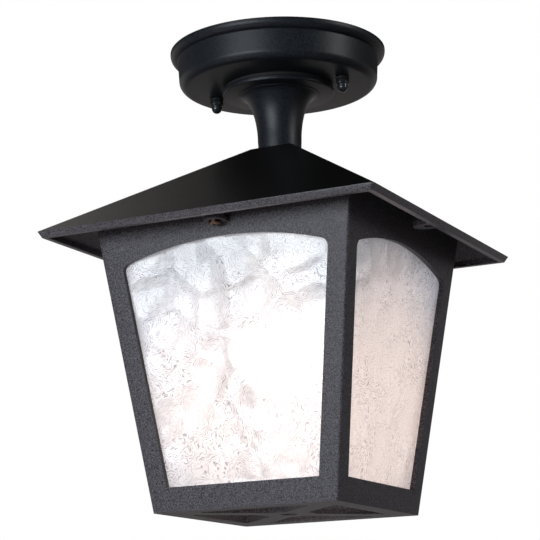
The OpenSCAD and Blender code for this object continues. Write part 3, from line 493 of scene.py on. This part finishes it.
black_rubber = moulded("black_rubber", (0.008, 0.008, 0.008), (0.018, 0.018, 0.019), 0.72, 0.5 * mm)
white_plastic = moulded("white_plastic", (0.74, 0.73, 0.70), (0.80, 0.79, 0.76), 0.42, 1.5 * mm)
cream_plastic = moulded("cream_plastic", (0.72, 0.68, 0.56), (0.78, 0.74, 0.63), 0.30, 2 * mm)
black_glaze = moulded("black_glaze", (0.010, 0.010, 0.012), (0.02, 0.02, 0.022), 0.15, 2 * mm)
fired_ceramic = moulded("fired_ceramic", (0.74, 0.72, 0.67), (0.84, 0.82, 0.78), 0.6, 0.8 * mm)
brown_sleeve = moulded("brown_sleeve", (0.10, 0.040, 0.015), (0.15, 0.06, 0.025), 0.4, 1 * mm)
blue_sleeve = moulded("blue_sleeve", (0.02, 0.08, 0.28), (0.03, 0.12, 0.38), 0.4, 1 * mm)
print("made the moulded finishes")

# %% [markdown]
# The earth lead is green with a yellow stripe along it. A wave texture across the lead would need a UV
# map, but bands in space are enough here, because the lead runs mostly one way. At a scale of 1, the
# texture's bands are about 0.3 m apart.

# %% The striped earth sleeve
stripe_width = 1.9 * mm
wave_at_scale_one = 0.3
striped_sleeve = plain_material("striped_sleeve", (0.10, 0.36, 0.06), 0.4)
stripe_tree = striped_sleeve.node_tree
stripe_place = add_node(stripe_tree, "ShaderNodeTexCoord")
stripe = add_node(stripe_tree, "ShaderNodeTexWave", bands_direction="X")
stripe.inputs["Scale"].default_value = wave_at_scale_one / stripe_width
link(stripe_tree, stripe_place.outputs["Object"], stripe.inputs["Vector"])
tint(stripe_tree, stripe.outputs["Fac"], (0.08, 0.30, 0.05), (0.62, 0.55, 0.05), 0.45, 0.55)
roughen(stripe_tree, grain_noise(stripe_tree, 1 * mm), mould_bump, mould_bump_strength)
print("made the earth lead's sleeve")

# %% [markdown]
# ## Dented glass
#
# The panes are rolled glass: one side is pressed into shallow dents about 19 mm across, and fine dark
# strokes run round each dent. The dents are real geometry, made further on. The strokes and a fine
# ripple are too small to model, so they are colour and bump. The strokes have to know where the dents
# are, and an attribute named "sweep" tells them: its first part is the distance from the dent's middle,
# and its second part is the way round it.
#
# Rough glass scatters the bulb's light sideways, and here that light is a painted glow on the pane, an
# emission that is warm in front of the bulb and cool away from it. The distance to a point just below
# the bulb's middle, in object coordinates, gives that painted glow, so it stays on the pane from every
# side.

# %% The painted glow's numbers
bulb_low, bulb_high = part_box("bulb_glass")
bulb_radius = (bulb_high.x - bulb_low.x) / 2
bulb_centre = Vector((0, 0, bulb_low.z + bulb_radius))
painted_glow_centre = bulb_centre + Vector((12 * mm, 0, -28 * mm))
glow_start = 72 * mm
glow_reach = 30 * mm
painted_warm_glow = (0.200, 0.152, 0.132)
painted_cool_glow = (0.080, 0.077, 0.083)
print(f"the bulb's centre is {-bulb_centre.z / mm:.0f} mm below the ceiling")

# %% Helpers for spans and distances
def stretched(tree, value, low, high, new_low=0.0, new_high=1.0):
    """Stretches a span of values to another span, and cuts off what lies outside."""
    span = add_node(tree, "ShaderNodeMapRange")
    for name, number in (
            ("From Min", low), ("From Max", high), ("To Min", new_low), ("To Max", new_high)):
        span.inputs[name].default_value = number
    link(tree, value, span.inputs["Value"])
    return span.outputs[0]


def distance_to(tree, middle):
    """How far a point of the piece is from a middle."""
    coordinates = add_node(tree, "ShaderNodeTexCoord")
    distance = add_node(tree, "ShaderNodeVectorMath", operation="DISTANCE")
    distance.inputs[1].default_value = middle
    link(tree, coordinates.outputs["Object"], distance.inputs[0])
    return distance.outputs["Value"]


print("ready to stretch spans and to measure distances")

# %% [markdown]
# A stroke is where three things meet. Rings lie round the dent's middle, about a millimetre apart, and
# a slow noise lets them wander. A noise that is stretched along the rings cuts them into dashes. A
# patchy noise makes the dashes strong here and weak there, and strongest on the ridges between the
# dents, where that extra darkness is painted shade of the dents' relief. A sine of the distance draws
# the rings.

# %% Strokes in the glass
glass_tint = (0.97, 0.98, 1.0)
stroke_pitch = 0.95 * mm
stroke_length = 1.9 * mm
wander = 5 * mm
wander_width = 5 * mm
patch_width = 18 * mm
dent_width = 19 * mm
ring_full = 0.9
dash_span = (0.42, 0.54)
patch_span = (0.38, 0.62)
patch_levels = (0.50, 0.66)
painted_ridge_shade_start = 0.34 * dent_width
painted_ridge_shade_end = 0.62 * dent_width

rolled_glass = plain_material("rolled_glass", glass_tint, 0.05)
glass_tree = rolled_glass.node_tree
sweep = add_node(glass_tree, "ShaderNodeAttribute", attribute_name="sweep")
sweep_parts = add_node(glass_tree, "ShaderNodeSeparateXYZ")
link(glass_tree, sweep.outputs["Vector"], sweep_parts.inputs[0])
contour = sweep_parts.outputs["X"]
drift = maths(glass_tree, "MULTIPLY", grain_noise(glass_tree, wander_width, detail=1), wander)
hatch_place = add_node(glass_tree, "ShaderNodeCombineXYZ")
across = maths(glass_tree, "DIVIDE", maths(glass_tree, "ADD", contour, drift), stroke_pitch)
link(glass_tree, across, hatch_place.inputs["X"])
link(glass_tree, maths(glass_tree, "DIVIDE", sweep_parts.outputs["Y"], stroke_length),
     hatch_place.inputs["Y"])
hatch = add_node(glass_tree, "ShaderNodeTexNoise")
hatch.inputs["Scale"].default_value = 1.0
hatch.inputs["Detail"].default_value = 1.0
link(glass_tree, hatch_place.outputs[0], hatch.inputs["Vector"])
ring = maths(glass_tree, "SINE", maths(glass_tree, "MULTIPLY", across, math.tau))
ring = stretched(glass_tree, ring, 0.0, ring_full)
dash = maths(glass_tree, "MULTIPLY", ring, stretched(glass_tree, hatch.outputs["Fac"], *dash_span))
patch = stretched(
    glass_tree, grain_noise(glass_tree, patch_width, detail=1), *patch_span, *patch_levels)
# Painted shade: the strokes grow strongest on the ridges between the dents, darkening them.
ridge = stretched(glass_tree, contour, painted_ridge_shade_start, painted_ridge_shade_end)
patch = maths(glass_tree, "MAXIMUM", patch, ridge)
stroke = maths(glass_tree, "MULTIPLY", dash, patch)
print(f"strokes {stroke_pitch / mm:.2f} mm apart run round dents {dent_width / mm:.0f} mm across")

# %% [markdown]
# The strokes then go three ways: they darken the glass, they are cut into it as a bump beside the fine
# ripple, and they dim its painted glow. About two thirds of the light passes through, and the rest
# makes the pane itself look white, as frosted glass does.

# %% The glass's shader
stroke_shade = 0.76
stroke_grey = (0.20, 0.21, 0.25)
unlit_stroke = (0.02, 0.02, 0.025)
stroke_depth = 0.04 * mm
glass_bump_strength = 0.9
fine_ripple_width = 1.2 * mm
fine_ripple_share = 0.5

glass_shader = glass_tree.nodes["Principled BSDF"]
glass_shader.inputs["Transmission Weight"].default_value = 0.68
glass_shader.inputs["IOR"].default_value = 1.46
glass_shader.inputs["Emission Strength"].default_value = 1.0
shade = maths(glass_tree, "MULTIPLY", stroke, stroke_shade)
link(glass_tree, mixed(glass_tree, shade, glass_tint, stroke_grey), glass_shader.inputs["Base Color"])
fine_ripple = maths(glass_tree, "MULTIPLY", grain_noise(
    glass_tree, fine_ripple_width, detail=1), fine_ripple_share)
roughen(glass_tree, maths(
    glass_tree, "SUBTRACT", fine_ripple, stroke), stroke_depth, glass_bump_strength)
# The emission is a painted glow, warm near the bulb and cool further off, and the strokes dim it.
far_from_bulb = stretched(
    glass_tree, distance_to(glass_tree, painted_glow_centre), glow_start, glow_start + glow_reach)
glow = mixed(glass_tree, far_from_bulb, painted_warm_glow, painted_cool_glow)
link(glass_tree, mixed(glass_tree, shade, glow, unlit_stroke), glass_shader.inputs["Emission Color"])
print("made the dented glass")

# %% [markdown]
# The bulb is lit. One strength all over would make it a flat disc, so its glow is strongest low on the
# bulb, where the glass is round and wide, and falls off towards the cap, as painted shading that makes
# it look round. The glass mount inside is clear.

# %% The bulb's glass
bulb_glow_colour = (1.0, 0.80, 0.58)
bulb_glow_drop = 12 * mm
bulb_glow_start = bulb_radius - 3 * mm
bulb_glow_end = bulb_radius + 9 * mm
bulb_glow_most = 1.15
bulb_glow_least = 0.1

opal_glass = plain_material("opal_glass", (0.95, 0.93, 0.88), 0.3)
opal_tree = opal_glass.node_tree
opal_shader = opal_tree.nodes["Principled BSDF"]
opal_shader.inputs["Emission Color"].default_value = (*bulb_glow_colour, 1)
# Painted shading: the glow fades from low on the bulb towards the cap.
from_bulb = distance_to(opal_tree, bulb_centre - Vector((0, 0, bulb_glow_drop)))
link(opal_tree, stretched(
    opal_tree, from_bulb, bulb_glow_start, bulb_glow_end, bulb_glow_most, bulb_glow_least),
    opal_shader.inputs["Emission Strength"])
tint(opal_tree, grain_noise(opal_tree, 3 * mm), (0.93, 0.91, 0.86), (0.97, 0.95, 0.91))

clear_glass = plain_material("clear_glass", (1, 1, 1), 0.03)
clear_tree = clear_glass.node_tree
clear_tree.nodes["Principled BSDF"].inputs["Transmission Weight"].default_value = 1.0
roughen(clear_tree, grain_noise(clear_tree, 2 * mm), 0.02 * mm, 0.3)
print("made the bulb's opal glass and the mount's clear glass")

# %% [markdown]
# ## Helpers for making pieces
#
# Every piece follows the same path: a bmesh is shaped, its normals face outwards, it becomes a mesh on
# an object at the origin, it gets a material, and it rides on a body. One function does the last steps,
# so that each piece's cell shows only its shape.

# %% Finishing a piece
def smooth_by_angle(mesh, degrees=32):
    """Smooth shading, with sharp edges where faces meet at more than this angle."""
    mesh.polygons.foreach_set("use_smooth", [True] * len(mesh.polygons))
    mesh.set_sharp_from_angle(angle=math.radians(degrees))


def finish_piece(shape, name, material, body, slot, *nodes, face_out=True):
    if face_out:
        bmesh.ops.recalc_face_normals(shape, faces=shape.faces)
    data = bpy.data.meshes.new(name)
    shape.to_mesh(data)
    shape.free()
    smooth_by_angle(data)
    data.materials.append(material)
    piece = bpy.data.objects.new(name, data)
    bpy.context.scene.collection.objects.link(piece)
    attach(piece, body)
    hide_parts(*nodes)
    low = Vector([min(v.co[i] for v in data.vertices) for i in range(3)])
    high = Vector([max(v.co[i] for v in data.vertices) for i in range(3)])
    size = " x ".join(f"{(high[i] - low[i]) / mm:.1f}" for i in range(3))
    print(f"{name}: {size} mm, {len(data.polygons)} faces")
    return piece


print("ready to finish pieces")

# %% [markdown]
# Turned and pressed pieces are round, so half of a section that is spun makes them. An arc gives the
# section its rounded corners.

# %% Helpers for spun pieces
def arc(x, z, radius, start, end, steps=8):
    """Points on an arc in the XZ plane, angles in degrees."""
    turns = [math.radians(start + (end - start) * i / steps) for i in range(steps + 1)]
    return [(x + radius * math.cos(t), z + radius * math.sin(t)) for t in turns]


def spun(profile, steps=128, centre=(0, 0)):
    """Spins a closed outline of (radius, height) points round an upright axis."""
    shape = bmesh.new()
    corners = [shape.verts.new((radius, 0, height)) for radius, height in profile]
    edges = [shape.edges.new((a, b)) for a, b in zip(corners, corners[1:] + corners[:1])]
    bmesh.ops.spin(
        shape, geom=corners + edges, cent=(0, 0, 0), axis=(0, 0, 1), angle=math.tau,
        steps=steps, use_merge=True)
    bmesh.ops.remove_doubles(shape, verts=shape.verts, dist=0.001 * mm)
    bmesh.ops.translate(shape, verts=shape.verts, vec=(*centre, 0))
    return shape


print("ready to spin sections")

# %% [markdown]
# A casting or a screw is already right in the frame, apart from its sharp edges. The shape of a frame
# node is never changed, so a copy of it is merged, and a live Bevel modifier rounds what is sharp.

# %% Helpers for softened copies
def soften(piece, width, segments=2, degrees=30):
    """Rounds every edge that is sharper than the angle, with a live bevel."""
    bevel = piece.modifiers.new("soft_edges", "BEVEL")
    bevel.width = width
    bevel.segments = segments
    bevel.limit_method = "ANGLE"
    bevel.angle_limit = math.radians(degrees)
    bevel.harden_normals = False
    return piece


def copy_of(node, flat_degrees=0.5):
    """A bmesh of a CAD node, with its loose triangles merged and its flat faces joined."""
    shape = bmesh.new()
    shape.from_mesh(frame["nodes"][node].data)
    bmesh.ops.remove_doubles(shape, verts=shape.verts, dist=0.002 * mm)
    bmesh.ops.dissolve_limit(
        shape, angle_limit=math.radians(flat_degrees), verts=shape.verts, edges=shape.edges)
    return shape


print("ready to soften copies")

# %% [markdown]
# ## The canopy
#
# The canopy is pressed from one disc of sheet metal: a rounded rim against the ceiling, a wall that
# draws in a little, a round corner and a flat underside. A cylinder with bevels could stand for it,
# but its outline is a lathe's work, so half its section is drawn once and spun. The groove in the rim
# holds the sealing cord. The sizes that the frame doesn't give are named here.

# %% Spinning the canopy
canopy_low, canopy_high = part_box("canopy")
cord_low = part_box("sealing_cord")[0]
rim_radius = canopy_high.x
canopy_floor = canopy_low.z
rim_height = 5.5 * mm
rim_edge = 4.1 * mm
rim_top_edge = 0.35 * mm
wall_radius = rim_radius - 4.4 * mm
wall_foot_radius = wall_radius - 0.7 * mm
foot_corner = 5 * mm
sheet = 1.5 * mm
cord_width = 3 * mm
rim_ease = 0.25 * mm
rod_hole = 5.25 * mm
groove_outside = (wall_radius - sheet + rim_radius) / 2 + cord_width / 2
groove_inside = groove_outside - cord_width

corner_x = wall_foot_radius - foot_corner
corner_z = canopy_floor + foot_corner
canopy_section = [
    (wall_radius - sheet, 0),
    (groove_inside, 0),
    (groove_inside, cord_low.z),
    (groove_outside, cord_low.z),
    (groove_outside, 0),
    (rim_radius - rim_top_edge, 0),
    (rim_radius, -rim_top_edge),
    *arc(rim_radius - rim_edge, rim_edge - rim_height, rim_edge, 0, -90, 10),
    (wall_radius + rim_ease, -rim_height),
    (wall_radius, -rim_height - rim_ease),
    *arc(corner_x, corner_z, foot_corner, 0, -90, 12),
    (rod_hole, canopy_floor),
    (rod_hole, canopy_floor + sheet),
    *arc(corner_x, corner_z, foot_corner - sheet, -90, 0, 8),
    (wall_radius - sheet, -rim_height),
]
finish_piece(
    spun(canopy_section, 160), "pressed_canopy", black_coat, "fixture", "black_coat", "canopy")

# %% [markdown]
# ## The stem
#
# The stem is one casting: a thin flange, a flare that sweeps down like a trumpet's bell, and a
# straight foot. The flare is a quarter of an ellipse, so two numbers shape it, and it meets the neck
# without a corner. A small shoulder lies between the flange and the flare, where the photo shows a
# dark line.

# %% Spinning the stem
stem_low, stem_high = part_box("stem")
seal_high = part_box("stem_seal")[1]
flange_radius = stem_high.x
flange_sheet = 3 * mm
flange_edge = 0.7 * mm
flare_radius = 24.5 * mm
neck_radius = 13.2 * mm
foot_radius = 12.9 * mm
flare_height = 28.7 * mm
shoulder = 0.5 * mm
shoulder_ease = 0.3 * shoulder
seal_play = 0.1 * mm
rod_land = 1.4 * mm
flare_steps = 24

flange_foot = stem_high.z - flange_sheet
flare_top = flange_foot - shoulder
flare = []
for step in range(flare_steps + 1):
    angle = math.radians(90 * step / flare_steps)
    flare.append((
        neck_radius + (flare_radius - neck_radius) * (1 - math.sin(angle)),
        flare_top - flare_height * (1 - math.cos(angle)),
    ))
stem_section = [
    (rod_hole, stem_high.z),
    (flange_radius - flange_edge, stem_high.z),
    *arc(flange_radius - flange_edge, stem_high.z - flange_edge, flange_edge, 90, 0, 4),
    *arc(flange_radius - flange_edge, flange_foot + flange_edge, flange_edge, 0, -90, 4),
    (flare_radius + 2 * shoulder, flange_foot),
    (flare_radius + shoulder_ease, flange_foot - shoulder_ease),
    *flare,
    (foot_radius, stem_low.z),
    (seal_high.x + seal_play, stem_low.z),
    (seal_high.x + seal_play, seal_high.z),
    (rod_hole + rod_land, seal_high.z),
    (rod_hole + rod_land, stem_low.z),
    (rod_hole, stem_low.z),
]
finish_piece(
    spun(stem_section, 128), "trumpet_stem", black_coat, "fixture", "black_coat", "stem")

# %% [markdown]
# ## The roof and the cage
#
# Both are castings, and a casting has no knife edge: paint and wear round every corner to half a
# millimetre or more, and that thin rounding catches the light along the eaves and the windows. The
# CAD solids already have the walls, windows, lugs and ledges at their right place. So a copy of each is
# taken, its triangles are merged back to flat faces, and a Bevel modifier rounds what is sharp. On the
# roof's copy, the faces that look up get the value that darkens their coat to black, as painted shade.

# %% Softening the castings
least_upward = 0.3
roof_softness = 0.8 * mm
cage_softness = 0.45 * mm

roof_shape = copy_of("roof")
upward_layer = roof_shape.faces.layers.float.new("painted_top_shade")
# Faces that look up are marked for the painted shade that blackens the roof's slopes.
for face in roof_shape.faces:
    face[upward_layer] = 1.0 if face.normal.z > least_upward else 0.0
roof = finish_piece(
    roof_shape, "cast_roof", roof_coat, "fixture", "grey_coat", "roof", face_out=False)
soften(roof, roof_softness, 3)
cage = finish_piece(
    copy_of("cage"), "cast_cage", charcoal_coat, "cage", "grey_coat", "cage", face_out=False)
soften(cage, cage_softness, 2)

# %% [markdown]
# ## The panes
#
# A pane starts as a copy of its CAD solid. Its outer face is cut into a fine grid, and each point of
# the grid is pushed in. The depth comes from a Voronoi noise: each cell is a bowl, deepest in its
# middle, and two bowls meet in a ridge, as where a roller has pressed dent beside dent. A slow noise
# bends the cells, so that no two are alike, and a faster one adds a little ripple. The depth fades to
# nothing at the pane's border, which lies hidden behind the cage. The same step writes the "sweep"
# attribute that the strokes follow. Blender's vector noise differs from run to run, so the slow noise
# is put together from three plain ones, each taken at its own offset.

# %% A dent's depth
dent_depth = 1.3 * mm
ripple_width = 3.2 * mm
ripple_depth = 0.05 * mm
dent_cuts = 119
border_fade = 3 * mm
bend_width = 2.2 * dent_width
bend_amount = 0.55
bend_offsets = (0.0, 11.3, 23.7)
bowl_steepness = 1.6
round_per_turn = dent_width / 3


def dent_at(point, seed):
    """How deep the glass is at a point, and its distance from and way round the dent's middle."""
    slow = point / bend_width + Vector((seed, 0, 0))
    bend = Vector([noise.noise(slow + Vector((0, 0, offset))) for offset in bend_offsets])
    spread = point / dent_width + bend * bend_amount + Vector((0, seed, 0))
    distances, middles = noise.voronoi(spread)
    nearest = distances[0]
    away = spread - middles[0]
    way_round = math.atan2(away.y, away.x) * round_per_turn
    bowl = max(0.0, 1 - nearest * nearest * bowl_steepness)
    fine = noise.noise(point / ripple_width + Vector((0, 0, seed)))
    depth = dent_depth * bowl + ripple_depth * (fine + 1) / 2
    return depth, Vector((nearest * dent_width, way_round, 0))


print(f"dents are up to {dent_depth / mm:.1f} mm deep")

# %% [markdown]
# The outer face is the large one whose normal points away from the lantern's middle line. Subdividing
# its edges with a grid fill gives cells a little over a millimetre wide, and each point of the grid is
# pushed in along the normal.

# %% Denting a pane
def dented_pane(node, name, seed):
    shape = copy_of(node)
    sweep_layer = shape.verts.layers.float_vector.new("sweep")
    outer = max(shape.faces, key=lambda f: f.calc_area() * f.normal.dot(
        f.calc_center_median() * Vector((1, 1, 0))))
    outward = outer.normal.copy()
    corners = [v.co.copy() for v in outer.verts]
    middle = sum(corners, Vector()) / len(corners)
    edges = [(a, b) for a, b in zip(corners, corners[1:] + corners[:1])]
    bmesh.ops.subdivide_edges(
        shape, edges=list(outer.edges), cuts=dent_cuts, use_grid_fill=True)
    on_outer = [v for v in shape.verts if abs((v.co - middle).dot(outward)) < 0.01 * mm]
    level = outward.cross(Vector((0, 0, 1))).normalized()
    uphill = level.cross(outward)
    for vert in on_outer:
        edge_gap = min(
            ((vert.co - a).cross((b - a).normalized())).length for a, b in edges)
        fade = min(1.0, edge_gap / border_fade)
        flat = Vector(((vert.co - middle).dot(level), (vert.co - middle).dot(uphill), 0))
        depth, vert[sweep_layer] = dent_at(flat, seed)
        vert.co -= outward * depth * fade
    return finish_piece(
        shape, name, rolled_glass, "cage", "textured_glass", node, face_out=False)


print("ready to dent panes")

# %% The four panes
dented_pane("front_pane", "dented_front_pane", 8.0)
dented_pane("right_pane", "dented_right_pane", 22.0)
dented_pane("back_pane", "dented_back_pane", 31.0)
dented_pane("left_pane", "dented_left_pane", 47.0)

# %% [markdown]
# ## The cap nuts
#
# A cap nut is a hexagon with a closed dome. The hexagon is a cone operator with six sides and equal
# radii, and its edges are bevelled. The dome is spun. They are two closed shells in one mesh.

# %% Making a cap nut
nut_flats = 7 * mm
nut_hexagon = 3.2 * mm
nut_chamfer = 0.35 * mm
dome_inset = 0.35 * mm
dome_root = 0.6 * mm


def cap_nut(node, name, body):
    low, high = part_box(node)
    centre = (low + high) / 2
    dome_radius = nut_flats / 2 - dome_inset
    dome_centre = low.z + dome_radius
    shape = spun([
        (0, high.z - dome_root),
        (dome_radius, high.z - dome_root),
        *arc(0, dome_centre, dome_radius, 0, -90, 12),
    ], 48)
    corner_radius = nut_flats / math.sqrt(3)
    hexagon = bmesh.ops.create_cone(
        shape, cap_ends=True, cap_tris=False, segments=6, depth=nut_hexagon,
        radius1=corner_radius, radius2=corner_radius)["verts"]
    bmesh.ops.translate(shape, verts=hexagon, vec=(0, 0, high.z - nut_hexagon / 2))
    rims = [e for v in hexagon for e in v.link_edges]
    bmesh.ops.bevel(
        shape, geom=list(dict.fromkeys(rims)), offset=nut_chamfer, segments=2, profile=0.5,
        affect="EDGES", material=-1)
    bmesh.ops.translate(shape, verts=shape.verts, vec=(centre.x, centre.y, 0))
    return finish_piece(shape, name, black_nut, body, "black_nut", node)


cap_nut("left_cap_nut", "left_domed_nut", "left_nut")
cap_nut("right_cap_nut", "right_domed_nut", "right_nut")

# %% [markdown]
# ## The small pieces
#
# Screws, clips, the bracket and the lampholder are right as the frame holds them. They get a copy with
# softened edges where an edge shows, and the others just get their finish.

# %% Softened small pieces
def softened(node, name, material, slot, width, degrees=30):
    body = body_of(frame["nodes"][node])[0]
    piece = finish_piece(copy_of(node), name, material, body, slot, node, face_out=False)
    return soften(piece, width, 2, degrees)


softened("front_screw", "front_cage_screw", bronze_screw, "bronze_screw", 0.12 * mm)
softened("back_screw", "back_cage_screw", bronze_screw, "bronze_screw", 0.12 * mm)
softened("left_nut_washer", "left_sealing_washer", black_rubber, "black_rubber", 0.25 * mm)
softened("right_nut_washer", "right_sealing_washer", black_rubber, "black_rubber", 0.25 * mm)

# %% Finishes for the frame's own nodes
finishes = {
    "ceiling_bracket": zinc_plate,
    "bracket_studs": zinc_plate,
    "stud_locknuts": zinc_plate,
    "rod_washers": zinc_plate,
    "terminal_screws": zinc_plate,
    "pane_clips": zinc_plate,
    "clip_screws": zinc_plate,
    "bulb_filament": zinc_plate,
    "bulb_contact": zinc_plate,
    "earth_screw": bright_brass,
    "hollow_rod": bright_brass,
    "rod_nuts": bright_brass,
    "holder_clamps": bright_brass,
    "holder_thread": bright_brass,
    "holder_contact": bright_brass,
    "bulb_cap": rolled_cap,
    "sealing_cord": black_rubber,
    "canopy_seal": black_rubber,
    "stem_seal": black_rubber,
    "terminal_block": white_plastic,
    "holder_cap": cream_plastic,
    "holder_shell": cream_plastic,
    "holder_insert": fired_ceramic,
    "bulb_insulator": black_glaze,
    "bulb_glass": opal_glass,
    "bulb_mount": clear_glass,
    "lead_live": brown_sleeve,
    "lead_neutral": blue_sleeve,
    "lead_earth": striped_sleeve,
}
node_sharp_angle = 28
for node, material in finishes.items():
    data = frame["nodes"][node].data
    data.materials.clear()
    data.materials.append(material)
    smooth_by_angle(data, node_sharp_angle)
print(f"{len(finishes)} nodes got their finish")
